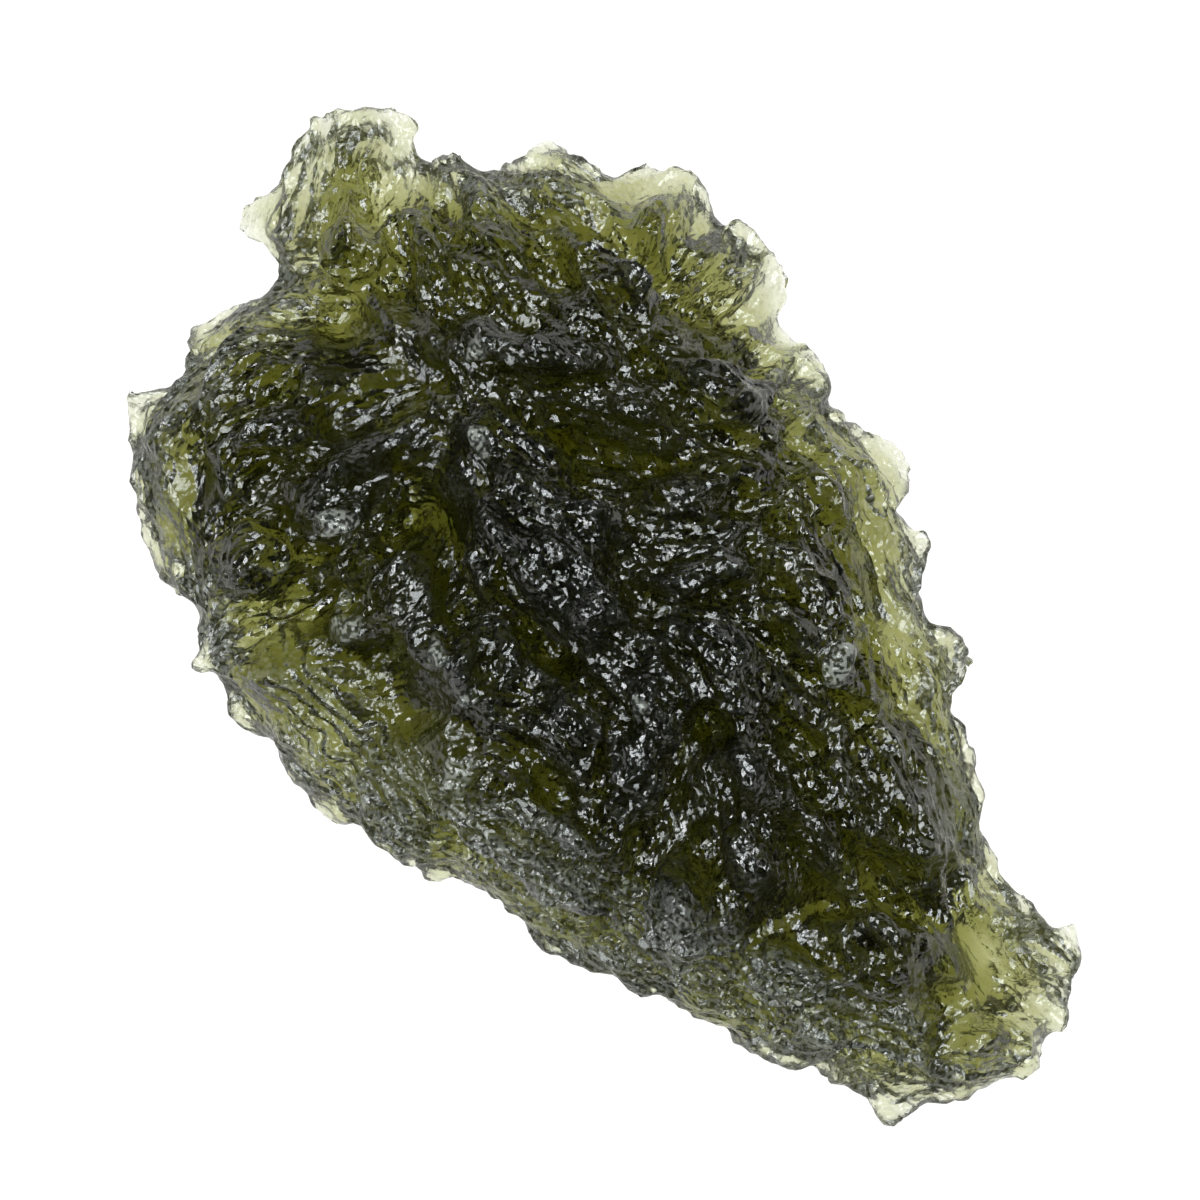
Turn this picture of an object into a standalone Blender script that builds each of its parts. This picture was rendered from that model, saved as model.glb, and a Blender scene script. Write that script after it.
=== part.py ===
"""A moldavite: one piece of natural green glass, etched into crests, hollows and thin thorny edges.

The stone is drawn in plan, as it is seen from above: x runs right, y runs up the page, and every
length in the drawing is a millimetre of the real stone. The finished solid is turned so that its
long axis lies along X, and set down with its lowest lumps on z = 0.
"""

import math
from collections import namedtuple

import bpy
import numpy as np
from mathutils import Vector, noise
from mathutils.geometry import delaunay_2d_cdt
from mathutils.kdtree import KDTree

# Driving dimensions, in millimetres of the drawing unless they say otherwise
UNIT = 0.001  # metres in one millimetre of the drawing
LONG_AXIS_DIP = math.radians(54.0)  # how far the long axis dips below x in the drawing
RIM_HEIGHT = 4.1  # of the thin edge, above the lowest point
RIM_TILT = 0.09  # how much the edge climbs for each millimetre towards the steep flank
RIM_THICKNESS = 0.4
WALL_MARGIN = 0.6  # share of a step that the outline's neighbours keep away from it
GRID_STEP = 0.22  # between neighbouring points while the surface is shaped
FACETS = 9600  # triangles in the finished stone
SEED = 7

# The outline, clockwise, in the stretches that a person would name
HEAD = (
    (-11.0, 11.0), (-10.7, 11.8), (-10.1, 12.1), (-9.6, 12.3), (-9.4, 12.8), (-9.4, 13.5),
    (-8.9, 14.1), (-8.6, 14.5), (-8.0, 14.8), (-7.3, 14.7), (-6.9, 14.8), (-6.5, 15.0),
    (-6.0, 15.0), (-5.7, 14.7), (-5.5, 14.1), (-5.5, 13.4),
)
TOP_EDGE = (
    (-4.9, 13.3), (-4.5, 13.6), (-4.1, 13.5), (-3.9, 13.1), (-3.4, 13.0), (-3.1, 12.8),
    (-2.9, 13.1), (-2.2, 13.4), (-2.0, 13.9), (-1.6, 14.0), (-1.2, 13.9), (-0.9, 13.5),
    (-0.1, 13.2), (0.5, 12.7), (1.0, 13.1), (1.4, 13.4), (1.9, 13.1), (2.7, 12.9),
    (3.1, 12.5), (3.3, 12.4), (3.5, 11.9), (3.6, 11.4), (4.2, 11.5), (4.7, 11.2),
    (5.0, 10.7), (5.4, 10.2), (5.8, 9.8), (5.6, 9.2), (5.7, 8.9), (5.3, 8.4),
)
TOOTHED_EDGE = (
    (5.8, 8.2), (5.9, 7.8), (6.7, 7.4), (6.8, 7.0), (6.9, 6.4), (6.8, 6.1), (6.8, 5.7),
    (7.2, 5.8), (7.8, 5.4), (8.0, 4.9), (8.5, 5.0), (9.1, 4.7), (9.5, 4.2), (9.6, 3.9),
    (9.1, 3.2), (8.9, 2.8), (9.3, 2.4), (9.8, 2.1), (10.1, 1.6), (9.6, 0.7), (9.8, 0.0),
    (9.9, -0.5), (10.3, -0.7), (10.8, -1.2), (11.3, -1.6), (11.0, -2.5), (10.6, -3.0),
    (10.7, -3.4), (11.0, -3.8), (11.3, -4.5), (11.4, -5.3), (11.7, -5.7), (11.7, -6.1),
    (11.4, -6.8), (11.4, -7.2), (11.8, -7.5), (12.1, -8.2), (12.7, -8.6), (13.1, -9.2),
    (13.3, -9.6),
)
TAIL = (
    (13.8, -9.6), (14.3, -9.6), (14.5, -10.4), (14.3, -11.2), (14.3, -11.9), (14.0, -12.7),
    (13.5, -13.2), (13.3, -13.7), (12.9, -14.2), (11.9, -14.6), (10.7, -15.0), (9.6, -15.4),
    (8.7, -15.7),
)
LOWER_EDGE = (
    (8.3, -15.5), (8.0, -15.1), (7.5, -14.9), (7.2, -14.5), (6.7, -14.2), (6.0, -13.9),
    (5.4, -13.9), (4.7, -13.7), (3.9, -13.2), (3.1, -12.6), (2.5, -12.4), (2.0, -12.0),
    (1.2, -11.9), (0.4, -11.5), (-0.5, -11.0), (-1.3, -10.6), (-1.8, -10.3), (-2.3, -9.5),
    (-2.8, -9.4), (-2.9, -9.0), (-3.6, -8.8), (-4.2, -8.4), (-4.5, -8.2), (-4.9, -8.5),
    (-5.7, -8.1), (-6.3, -7.7), (-7.0, -7.2), (-7.6, -6.7), (-8.4, -6.5), (-8.9, -6.0),
    (-9.2, -5.3), (-9.6, -5.0), (-9.8, -4.5), (-10.7, -3.9), (-11.1, -3.2), (-11.4, -2.4),
)
LEFT_END = (
    (-11.6, -2.1), (-11.9, -2.2), (-12.3, -1.9), (-12.1, -1.4), (-12.2, -0.9), (-12.0, -0.4),
    (-12.6, -0.1), (-13.2, 0.6), (-13.4, 1.4), (-13.9, 2.3), (-14.0, 3.3), (-14.1, 4.0),
    (-14.1, 4.3), (-14.3, 4.8), (-14.2, 5.6), (-14.2, 6.4), (-13.8, 6.2), (-13.1, 6.4),
    (-12.7, 6.6), (-12.5, 7.4), (-12.4, 8.3), (-11.9, 8.5), (-11.3, 8.9), (-10.5, 9.1),
    (-9.9, 9.2), (-9.7, 9.6), (-9.7, 10.1), (-10.2, 10.6),
)
OUTLINE = HEAD + TOP_EDGE + TOOTHED_EDGE + TAIL + LOWER_EDGE + LEFT_END

# The body of the stone: places in plan, and how far the top stands above the rim there
CROWN = (
    (-8.2, 13.4, 1.7), (-6.4, 12.0, 2.1), (-9.6, 11.0, 1.8), (-7.6, 9.6, 3.0), (-6.0, 7.8, 4.2),
    (-9.2, 8.2, 5.6), (-11.6, 5.6, 4.8), (-9.6, 5.2, 3.4), (-12.6, 3.2, 3.2), (-9.6, 1.2, 3.6),
    (-3.8, 10.6, 6.5), (-1.4, 11.2, 5.7), (0.4, 10.0, 4.4), (3.0, 9.0, 3.4), (-3.6, 5.6, 4.6),
    (0.0, 6.6, 4.9), (3.6, 5.8, 4.4), (6.0, 4.2, 5.7), (-5.8, 2.2, 4.2), (-2.2, 2.4, 5.6),
    (1.4, 2.2, 5.9), (5.4, 1.6, 5.0), (7.6, 1.6, 4.9), (8.8, -0.4, 4.2), (-7.6, -2.2, 4.1),
    (-4.2, -2.2, 4.6), (-0.4, -2.6, 5.6), (3.4, -3.0, 5.9), (8.2, -3.0, 4.6), (-2.6, -6.2, 4.4),
    (1.4, -7.2, 4.5), (5.6, -7.0, 5.1), (9.6, -6.6, 3.9), (4.0, -10.2, 4.6), (7.8, -10.6, 3.1),
    (10.2, -10.8, 3.8), (12.4, -11.6, 2.1), (9.4, -13.6, 2.0), (11.9, -13.4, 1.6),
)
CROWN_BLEND = 1.1  # the smaller, the more tightly the body follows each of those places

# A steep flank falls to the lower edge, and gentle slopes to every other edge
FLANK_FOOT = (-12.3, -1.8)  # a point of the lower edge
FLANK_OUTWARD = (-0.552, -0.834)  # the way that flank faces, in plan
FLANK_REACH = (1.6, 6.4)  # how far in from that edge it is fully steep, and no longer steep

Slope = namedtuple("Slope", "ledge rise power")  # the ledge is the width of thin glass at the rim
STEEP = Slope(ledge=0.2, rise=4.2, power=0.76)
GENTLE = Slope(ledge=0.2, rise=7.2, power=0.82)
STEEP_BELLY = Slope(ledge=0.3, rise=4.2, power=1.0)
BELLY = Slope(ledge=0.3, rise=6.2, power=0.82)

Hollow = namedtuple("Hollow", "x y long wide turn depth")
WINDOWS = {  # smooth hollows where the glass is thin enough to let light through
    "upper window": Hollow(-6.7, 7.2, 2.4, 2.0, 10, 1.1),
    "middle window": Hollow(-6.8, 5.0, 2.0, 1.3, -15, 0.9),
    "slot window": Hollow(-4.7, 3.1, 3.0, 1.8, 80, 1.6),
    "bright bowl": Hollow(-6.9, -3.6, 4.5, 2.8, -42, 2.0),
    "arched pit": Hollow(-12.0, 2.8, 1.9, 1.5, 75, 0.9),
    "tail window": Hollow(5.7, -9.3, 2.6, 2.1, 20, 1.9),
    "tip window": Hollow(10.6, -11.7, 2.2, 1.5, 75, 1.3),
}
WANDER = 1.1  # how far the outline of a hollow strays from an oval
WANDER_SIZE = 2.4  # from one bulge of that outline to the next
WANDER_SHIFTS = (31.0, 57.0)  # places apart where the two directions' pushes are read
CALM = 0.65  # share of the flutes that is missing from the floor of a window
HOLLOWS = {  # fluted all over
    "bowl pit": Hollow(-8.5, -3.7, 1.1, 0.8, -10, 0.6),
    "left trough": Hollow(-9.4, -0.2, 3.1, 1.7, 5, 1.8),
    "dark pit": Hollow(2.7, -4.1, 2.3, 1.3, 80, 1.7),
    "dark trough": Hollow(-0.3, 4.0, 3.4, 1.5, -28, 1.3),
    "fan": Hollow(1.7, -7.2, 2.4, 1.6, 75, 1.6),
    "back slope": Hollow(4.6, 7.6, 2.6, 1.7, -50, 0.5),
    "top dish": Hollow(-1.6, 9.4, 2.5, 1.8, -30, 0.6),
    "shoulder dish": Hollow(2.2, 9.8, 2.0, 1.5, 40, 0.5),
    "tail flute": Hollow(8.9, -8.4, 3.0, 1.3, -62, 1.0),
    "mid flute": Hollow(5.2, -4.6, 2.5, 1.0, -48, 0.9),
    "centre dish": Hollow(-1.6, -0.6, 2.4, 1.6, -52, 0.9),
}

Ridge = namedtuple("Ridge", "path wide high")
RIDGES = {
    "brow": Ridge(((-11.9, 7.3), (-10.3, 6.9), (-8.8, 7.1)), 1.3, 1.1),
    "left shoulder": Ridge(((-13.1, 4.6), (-11.3, 5.1), (-9.0, 4.9), (-7.6, 4.1)), 1.8, 1.3),
    "left comb": Ridge(((-10.8, 3.2), (-8.6, 3.6), (-5.8, 4.6)), 1.2, 0.8),
    "main crest": Ridge(((-3.6, 7.6), (-1.2, 7.5), (1.6, 7.8), (3.2, 7.0), (4.4, 5.8)), 1.5, 1.0),
    "right crest": Ridge(
        ((4.8, 5.5), (6.1, 3.6), (6.3, 1.2), (7.2, -1.4), (8.6, -3.8), (9.9, -6.0), (10.8, -8.4)),
        1.4, 1.1,
    ),
    "outer crest": Ridge(((7.6, 3.5), (8.9, 1.6), (9.4, -0.6), (9.6, -2.6)), 0.9, 0.6),
    "central crest": Ridge(((-3.3, 4.9), (-1.4, 2.2), (0.4, -0.6), (1.6, -3.2)), 1.6, 0.8),
    "lower shoulder": Ridge(
        ((-11.0, -2.6), (-9.4, -4.6), (-7.4, -5.9), (-4.6, -7.1), (-1.2, -7.6), (1.0, -8.8),
         (4.8, -10.6), (7.8, -11.4), (9.2, -12.5)),
        1.2, 0.8,
    ),
    "head spine": Ridge(((-7.0, 14.2), (-6.2, 12.2), (-5.2, 10.2), (-4.9, 8.4)), 0.9, 0.6),
    "head brow": Ridge(((-10.2, 11.2), (-8.8, 10.6), (-6.6, 10.4)), 0.8, 0.5),
    "tail brow": Ridge(((9.0, -13.0), (10.6, -13.4), (12.4, -12.9), (13.6, -12.0)), 0.8, 0.4),
}

# Noses of glass that stand out over a hollow, each ending in a steep front
Nose = namedtuple("Nose", "x y heading long wide high")
NOSES = {
    "great nose": Nose(-4.6, -5.2, 175, 3.6, 1.4, 1.3),
    "trough nose": Nose(-7.8, -0.7, 190, 2.2, 0.9, 1.0),
    "pale knob": Nose(-8.5, 2.2, 200, 1.6, 0.9, 1.0),
    "step nose": Nose(-5.1, -1.6, 200, 1.3, 0.7, 0.7),
    "low nose": Nose(-4.3, -2.8, 215, 1.4, 0.7, 0.7),
    "crest nose": Nose(-3.9, 7.6, 170, 1.8, 0.9, 0.9),
    "wall nose": Nose(-3.7, 4.9, 150, 1.5, 0.7, 0.8),
    "flank crumb": Nose(0.9, -8.6, 20, 1.0, 0.6, 0.5),
    "tail blade": Nose(7.4, -1.6, 120, 2.6, 0.8, 0.8),
}
NOSE_FRONT = 0.6  # how far out the steep front of a nose reaches

# Lumps of the underside that carry the stone
Foot = namedtuple("Foot", "x y wide")
FEET = {
    "left foot": Foot(-8.4, 3.6, 2.9),
    "upper foot": Foot(1.4, 6.0, 2.7),
    "lower foot": Foot(2.7, -4.8, 2.5),
    "tail foot": Foot(8.6, -7.0, 2.6),
}
CLEARANCE = 0.8  # of the rest of the underside above the ground
FOOT_WEAR = 0.34  # how much of a foot's height is worn away
WORN_FLAT = 0.04  # whatever is lower than this touches the ground
UNDERSIDE_HOLLOWS = {
    "belly dish": Hollow(-3.8, 2.0, 3.1, 2.3, -40, 1.7),
    "belly trough": Hollow(3.4, -1.0, 3.6, 1.8, -62, 1.4),
    "head cup": Hollow(-6.6, 8.0, 2.8, 2.2, 70, 0.9),
    "left cup": Hollow(-11.2, 0.8, 2.2, 1.7, 60, 0.6),
    "bowl cup": Hollow(-7.6, -3.0, 3.4, 2.2, -30, 1.6),
    "trough cup": Hollow(-9.4, -0.2, 2.2, 1.6, 10, 1.2),
    "slot cup": Hollow(-4.9, 4.0, 2.0, 1.6, 60, 1.5),
    "window cup": Hollow(5.6, -9.4, 2.6, 2.1, 20, 1.5),
    "flank cup": Hollow(-2.8, -4.6, 3.8, 2.6, -40, 2.3),
    "heel cup": Hollow(2.0, -8.4, 3.0, 1.8, -30, 1.7),
    "crest cup": Hollow(6.0, -1.4, 2.6, 1.5, -65, 1.3),
    "tail cup": Hollow(9.6, -11.0, 2.8, 1.9, -50, 1.0),
}

# The way the flutes run, in degrees up from x, at places all over the stone
GRAIN = (
    (-7.5, 12.0, 80), (-9.0, 8.7, 175), (-4.5, 11.1, 120), (-1.2, 11.1, 135), (3.0, 11.4, 60),
    (5.4, 9.0, 35), (-7.8, 3.6, 20), (-9.9, 2.7, 28), (-3.0, 1.2, 125), (-1.2, 3.0, 130),
    (-4.5, 0.0, 55), (0.0, 4.5, 150), (3.0, 1.2, 10), (4.2, -2.4, 140), (1.2, -7.5, 65),
    (3.0, -7.5, 90), (4.8, -6.9, 128), (6.9, -7.2, 118), (8.1, 0.6, 122), (10.5, -4.8, 115),
    (9.9, -9.0, 120), (12.0, -11.4, 160), (-1.2, -8.4, 155), (4.5, -11.7, 160),
    (-7.5, -5.7, 140), (-6.3, -3.0, 10), (-12.0, 2.7, 105), (-11.5, 6.0, 40),
)

Flutes = namedtuple("Flutes", "spacing long wide deep")
FLUTES = (Flutes(2.1, 3.2, 1.25, 1.5), Flutes(1.1, 1.9, 0.65, 0.75))
GRAIN_BLEND = 0.3  # the smaller, the more closely the flutes follow each of those hints
RELIEF_EDGE = (0.2, 2.4)  # how far in from the rim the relief begins, and is full
FLUTE_EDGE = (0.2, 1.8)  # the same for the flutes
CALM_DEPTH = (0.2, 1.3)  # depths of a window at which its calm begins, and is full
RIDGE_CRISPNESS = 1.3  # above 1 a ridge's sides are hollow, and its crest is crisp
REACH_SOFTENED = 24  # rounds, so that no ridge runs where two slopes of the body meet
NORMALS_SOFTENED = 30  # rounds, so that flutes on both sides of a crease are carved alike
CRESTS_SOFTENED = 1  # rounds
LUMP_SIZE = 2.2  # across one of the soft lumps that break up every slope
LUMP_HEIGHT = 0.45
TOOTH_SIZE = 2.6  # along the rim, from one thorn that points up to the next
TOOTH_HEIGHT = 1.7


def smooth_step(low, high, value):
    """0 below low, 1 above high, and a smooth climb between them."""
    t = np.clip((value - low) / (high - low), 0.0, 1.0)
    return t * t * (3.0 - 2.0 * t)


def walked(outline, step):
    """The closed outline with points added so that no two neighbours are far apart."""
    points = []
    for start, end in zip(outline, outline[1:] + outline[:1]):
        parts = max(1, round(math.dist(start, end) / step))
        for i in range(parts):
            t = i / parts
            points.append((start[0] + (end[0] - start[0]) * t, start[1] + (end[1] - start[1]) * t))
    return np.array(points)


def distance_to(points, path):
    """How far each point is from a path of straight runs."""
    nearest = np.full(len(points), np.inf)
    for start, end in zip(path, path[1:]):
        start, along = np.array(start), np.array(end) - np.array(start)
        t = np.clip((points - start) @ along / (along @ along), 0.0, 1.0)
        away = np.linalg.norm(points - (start + t[:, None] * along), axis=1)
        nearest = np.minimum(nearest, away)
    return nearest


def is_inside(points, outline):
    """True for each point inside the outline, by counting the edges that lie to its right."""
    inside = np.zeros(len(points), bool)
    x, y = points.T
    for (x0, y0), (x1, y1) in zip(outline, np.roll(outline, -1, axis=0)):
        if y0 != y1:
            crosses = (y0 > y) != (y1 > y)
            inside ^= crosses & (x < x0 + (x1 - x0) * (y - y0) / (y1 - y0))
    return inside


def plan_mesh():
    """The plan of the stone as points and triangles, with the outline's points first.

    Also gives the pairs of neighbours along the outline.
    """
    outline = walked(OUTLINE, GRID_STEP)
    low, high = outline.min(axis=0), outline.max(axis=0)
    grid = []
    for row, y in enumerate(np.arange(low[1], high[1], GRID_STEP * math.sqrt(3) / 2)):
        shift = GRID_STEP / 2 * (row % 2)
        grid += [(x + shift, y) for x in np.arange(low[0], high[0], GRID_STEP)]
    grid = np.array(grid)
    grid = grid[is_inside(grid, outline)]
    grid = grid[distance_to(grid, np.vstack([outline, outline[:1]])) > WALL_MARGIN * GRID_STEP]
    rim = [(i, (i + 1) % len(outline)) for i in range(len(outline))]
    plan = [Vector(point) for point in np.vstack([outline, grid])]
    plan, _, faces, *_ = delaunay_2d_cdt(plan, rim, [], 1, 1e-6)
    return np.array(plan), np.array(faces), rim


def softened(values, faces, held, rounds):
    """Evens the rows of values out between neighbours, except the first rows, which are held."""
    pairs = np.vstack([faces[:, [0, 1]], faces[:, [1, 2]], faces[:, [2, 0]]])
    a, b = np.vstack([pairs, pairs[:, ::-1]]).T
    share = 1.0 / np.bincount(a, minlength=len(values))
    columns = values.reshape(len(values), -1).T.copy()
    for _ in range(rounds):
        for column in columns:
            mean = np.bincount(a, weights=column[b], minlength=len(values)) * share
            column[held:] = mean[held:]
    return columns.T.reshape(values.shape)


def in_oval(points, shape):
    """Squared distance from an oval's middle, 1 at its edge."""
    turn = math.radians(shape.turn)
    dx, dy = points[:, 0] - shape.x, points[:, 1] - shape.y
    along = dx * math.cos(turn) + dy * math.sin(turn)
    across = dy * math.cos(turn) - dx * math.sin(turn)
    return (along / shape.long) ** 2 + (across / shape.wide) ** 2


def wandered(points):
    """The points pushed about, so that an oval that is read there has an uneven outline."""
    pushes = [unevenness(points + shift, WANDER_SIZE, WANDER) for shift in WANDER_SHIFTS]
    return points + np.stack(pushes, axis=1)


def hollow_depth(points, hollows):
    """How deep the dished hollows cut at each point. Their edges stay sharp."""
    read = wandered(points)
    return sum(h.depth * np.clip(1.0 - in_oval(read, h), 0.0, None) for h in hollows.values())


def ridge_height(points):
    """How far the ridges lift each point, falling away on both sides of a crisp crest."""
    height = np.zeros(len(points))
    for ridge in RIDGES.values():
        away = distance_to(points, ridge.path)
        height += ridge.high * np.clip(1.0 - away / ridge.wide, 0.0, None) ** RIDGE_CRISPNESS
    return height


def nose_height(points):
    """How far the noses lift each point: a long climb to the tip, then a steep front."""
    height = np.zeros(len(points))
    for nose in NOSES.values():
        heading = math.radians(nose.heading)
        dx, dy = points[:, 0] - nose.x, points[:, 1] - nose.y
        ahead = dx * math.cos(heading) + dy * math.sin(heading)
        across = dy * math.cos(heading) - dx * math.sin(heading)
        climb = smooth_step(-nose.long, 0.0, ahead) * (1.0 - smooth_step(0.0, NOSE_FRONT, ahead))
        height += nose.high * climb * np.clip(1.0 - (across / nose.wide) ** 2, 0.0, None)
    return height


def crown_height(points):
    """How far the body stands above the rim, blended between the places that are given."""
    crown = np.array(CROWN)
    away = np.linalg.norm(points[:, None] - crown[None, :, :2], axis=2)
    weight = 1.0 / (away ** 2 + CROWN_BLEND) ** 2
    return weight @ crown[:, 2] / weight.sum(axis=1)


def flank_share(points):
    """1 on the steep lower flank, 0 on the gentle slopes."""
    inward = -(points - np.array(FLANK_FOOT)) @ np.array(FLANK_OUTWARD)
    return 1.0 - smooth_step(*FLANK_REACH, inward)


def rise(reach, slope):
    """Share of the full height at this distance in from the rim: a ledge, then a rounding slope."""
    t = np.clip((reach - slope.ledge) / (slope.rise - slope.ledge), 0.0, 1.0)
    return np.sin(t * math.pi / 2) ** slope.power


def unevenness(points, size, height):
    """Soft random lumps of that size and height."""
    drawn = [noise.noise(Vector((x / size, y / size, SEED))) for x, y in points]
    return height * np.array(drawn)


def rim_height(points):
    """Height of the thin edge, which wanders up and down so that its teeth lie at many levels."""
    tilt = RIM_TILT * (points @ np.array(FLANK_OUTWARD))
    return RIM_HEIGHT + tilt + unevenness(points, TOOTH_SIZE, TOOTH_HEIGHT)


def top_height(points, reach):
    """Height of the upper surface."""
    steep = flank_share(points)
    share = steep * rise(reach, STEEP) + (1.0 - steep) * rise(reach, GENTLE)
    relief = ridge_height(points) + nose_height(points) + unevenness(points, LUMP_SIZE, LUMP_HEIGHT)
    relief -= hollow_depth(points, WINDOWS) + hollow_depth(points, HOLLOWS)
    relief *= smooth_step(*RELIEF_EDGE, reach)
    return rim_height(points) + RIM_THICKNESS / 2 + crown_height(points) * share + relief


def underside_height(points, reach):
    """Height of the lower surface, before the feet are worn flat."""
    rim = rim_height(points) - RIM_THICKNESS / 2
    low = CLEARANCE + unevenness(points, LUMP_SIZE, LUMP_HEIGHT)
    steep = flank_share(points)
    share = steep * rise(reach, STEEP_BELLY) + (1.0 - steep) * rise(reach, BELLY)
    height = rim + (low - rim) * share
    height += hollow_depth(points, UNDERSIDE_HOLLOWS) * smooth_step(*RELIEF_EDGE, reach)
    for foot in FEET.values():
        away = np.hypot(points[:, 0] - foot.x, points[:, 1] - foot.y)
        mound = np.clip(1.0 - (away / foot.wide) ** 2, 0.0, None)
        height += mound * (-FOOT_WEAR - height)
    return height


def grain_direction(points):
    """Unit vectors in plan along which the flutes run.

    A flute has no front or back, so the blend is made on doubled angles.
    """
    grain = np.array(GRAIN)
    doubled = np.radians(grain[:, 2]) * 2.0
    away = np.linalg.norm(points[:, None, :2] - grain[None, :, :2], axis=2)
    weight = 1.0 / (away ** 3 + GRAIN_BLEND)
    angle = np.arctan2(weight @ np.sin(doubled), weight @ np.cos(doubled)) / 2.0
    return np.stack([np.cos(angle), np.sin(angle)], axis=1)


def scattered(points, spacing, rng):
    """The numbers of some of the points, picked at random with no two closer than spacing."""
    tree = KDTree(len(points))
    for i, point in enumerate(points):
        tree.insert(point, i)
    tree.balance()
    free = np.ones(len(points), bool)
    picked = []
    for i in rng.permutation(len(points)):
        if free[i]:
            picked.append(i)
            free[[found for _, found, _ in tree.find_range(points[i], spacing)]] = False
    return np.array(picked)


def outward_normals(points, faces):
    """The way the surface faces at each point, evened out over its neighbours."""
    a, b, c = (points[faces[:, k]] for k in range(3))
    normals = np.zeros_like(points)
    for k in range(3):
        np.add.at(normals, faces[:, k], np.cross(b - a, c - a))
    normals /= np.linalg.norm(normals, axis=1)[:, None]
    normals = softened(normals, faces, 0, NORMALS_SOFTENED)
    return normals / np.linalg.norm(normals, axis=1)[:, None]


def flute_relief(points, normals, flutes, rng):
    """Relief of dished flutes that meet in sharp crests, zero on the average."""
    sites = scattered(points, flutes.spacing, rng)
    grain = np.zeros((len(sites), 3))
    grain[:, :2] = grain_direction(points[sites])
    grain -= np.sum(grain * normals[sites], axis=1)[:, None] * normals[sites]
    grain /= np.linalg.norm(grain, axis=1)[:, None] + 1e-9
    size = rng.uniform(0.8, 1.25, len(sites))
    lowest = np.ones(len(points))
    for site, along, scale in zip(points[sites], grain, size):
        offset = points - site
        lengthwise = offset @ along
        sideways = np.sum(offset * offset, axis=1) - lengthwise ** 2
        bowl = (lengthwise / flutes.long) ** 2 + sideways / flutes.wide ** 2
        lowest = np.minimum(lowest, bowl / scale ** 2)
    return flutes.deep * (lowest - lowest.mean())


def fluted(points, faces, held, share, rng):
    """The surface with flutes carved into it, each point taking its share of their depth.

    The crests are rounded off a little afterwards. The first points are held where they are.
    """
    normals = outward_normals(points, faces)
    relief = share * sum(flute_relief(points, normals, flutes, rng) for flutes in FLUTES)
    return softened(points + normals * relief[:, None], faces, held, CRESTS_SOFTENED)


def shaped_stone():
    """Points and triangles of the closed stone, in the drawing's millimetres.

    The plan stands for both the upper and the lower surface, and a narrow wall joins them along
    the outline.
    """
    plan, faces, rim = plan_mesh()
    count = len(plan)
    reach = distance_to(plan, np.vstack([plan[:len(rim)], plan[:1]]))
    reach = softened(reach, faces, len(rim), REACH_SOFTENED)
    low = underside_height(plan, reach)
    high = np.maximum(top_height(plan, reach), low + RIM_THICKNESS)
    share = smooth_step(*FLUTE_EDGE, reach)
    calm = 1.0 - CALM * smooth_step(*CALM_DEPTH, hollow_depth(plan, WINDOWS))
    rng = np.random.default_rng(SEED)
    top = fluted(np.column_stack([plan, high]), faces, len(rim), share * calm, rng)
    underside = fluted(np.column_stack([plan, low]), faces[:, ::-1], len(rim), share * calm, rng)
    wall = []
    for a, b in rim:
        wall += [(a, b, count + b), (a, count + b, count + a)]
    return np.vstack([top, underside]), np.vstack([faces, faces[:, ::-1] + count, wall])


def wear_feet(points):
    """Wears the feet off flat where they touch the ground."""
    points[points[:, 2] < WORN_FLAT, 2] = 0.0


def set_in_frame(points):
    """Turns the stone's long axis onto X, scales it to metres and centres it over the origin."""
    turn = LONG_AXIS_DIP
    x, y, z = points.T
    turned = np.stack([
        x * math.cos(turn) - y * math.sin(turn), x * math.sin(turn) + y * math.cos(turn), z,
    ], axis=1)
    turned[:, :2] -= (turned[:, :2].max(axis=0) + turned[:, :2].min(axis=0)) / 2
    return turned * UNIT


def mesh_of(points, faces):
    """A mesh with those points and triangles."""
    data = bpy.data.meshes.new("moldavite")
    data.from_pydata(points.tolist(), [], faces.tolist())
    return data


def faceted(data):
    """The same mesh with the points that shape it least taken away."""
    holder = bpy.data.objects.new("holder", data)
    bpy.context.scene.collection.objects.link(holder)
    thin = holder.modifiers.new("thin out", "DECIMATE")
    thin.ratio = FACETS / len(data.polygons)
    seen = holder.evaluated_get(bpy.context.evaluated_depsgraph_get()).data
    points = np.array([vert.co for vert in seen.vertices])
    faces = np.array([face.vertices for face in seen.polygons])
    bpy.data.objects.remove(holder)
    return points, faces


def green_glass():
    """Clear bottle-green glass, pale where it is thin and nearly black where it is thick."""
    material = bpy.data.materials.new("moldavite glass")
    material.use_nodes = True
    shader = material.node_tree.nodes["Principled BSDF"]
    shader.inputs["Base Color"].default_value = (0.13, 0.15, 0.03, 1.0)
    shader.inputs["Roughness"].default_value = 0.12
    shader.inputs["Metallic"].default_value = 0.0
    shader.inputs["IOR"].default_value = 1.49
    return material


def clear_scene():
    """Removes what the scene holds."""
    for obj in list(bpy.data.objects):
        bpy.data.objects.remove(obj)


def main():
    """Builds the stone."""
    clear_scene()
    points, faces = shaped_stone()
    wear_feet(points)
    points, faces = faceted(mesh_of(points, faces))
    wear_feet(points)
    data = mesh_of(set_in_frame(points), faces)
    data.materials.append(green_glass())
    bpy.context.scene.collection.objects.link(bpy.data.objects.new("moldavite", data))


main()
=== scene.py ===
"""The looks of a moldavite: clear bottle-green natural glass, etched all over, on a pale floor.

The stone's solid gives its form. Its skin is remade here as a much finer mesh, and carved with the
scales, pits, folds and thorns that are too small for the solid. Places on it are given in
millimetres of a drawing that shows it as the camera does, from above: x runs right, y up the page.
"""

import logging
import math
from dataclasses import dataclass, field
from enum import Enum
from typing import Any, NamedTuple

import bpy
import numpy as np
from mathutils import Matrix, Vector, noise
from mathutils.kdtree import KDTree


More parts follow.
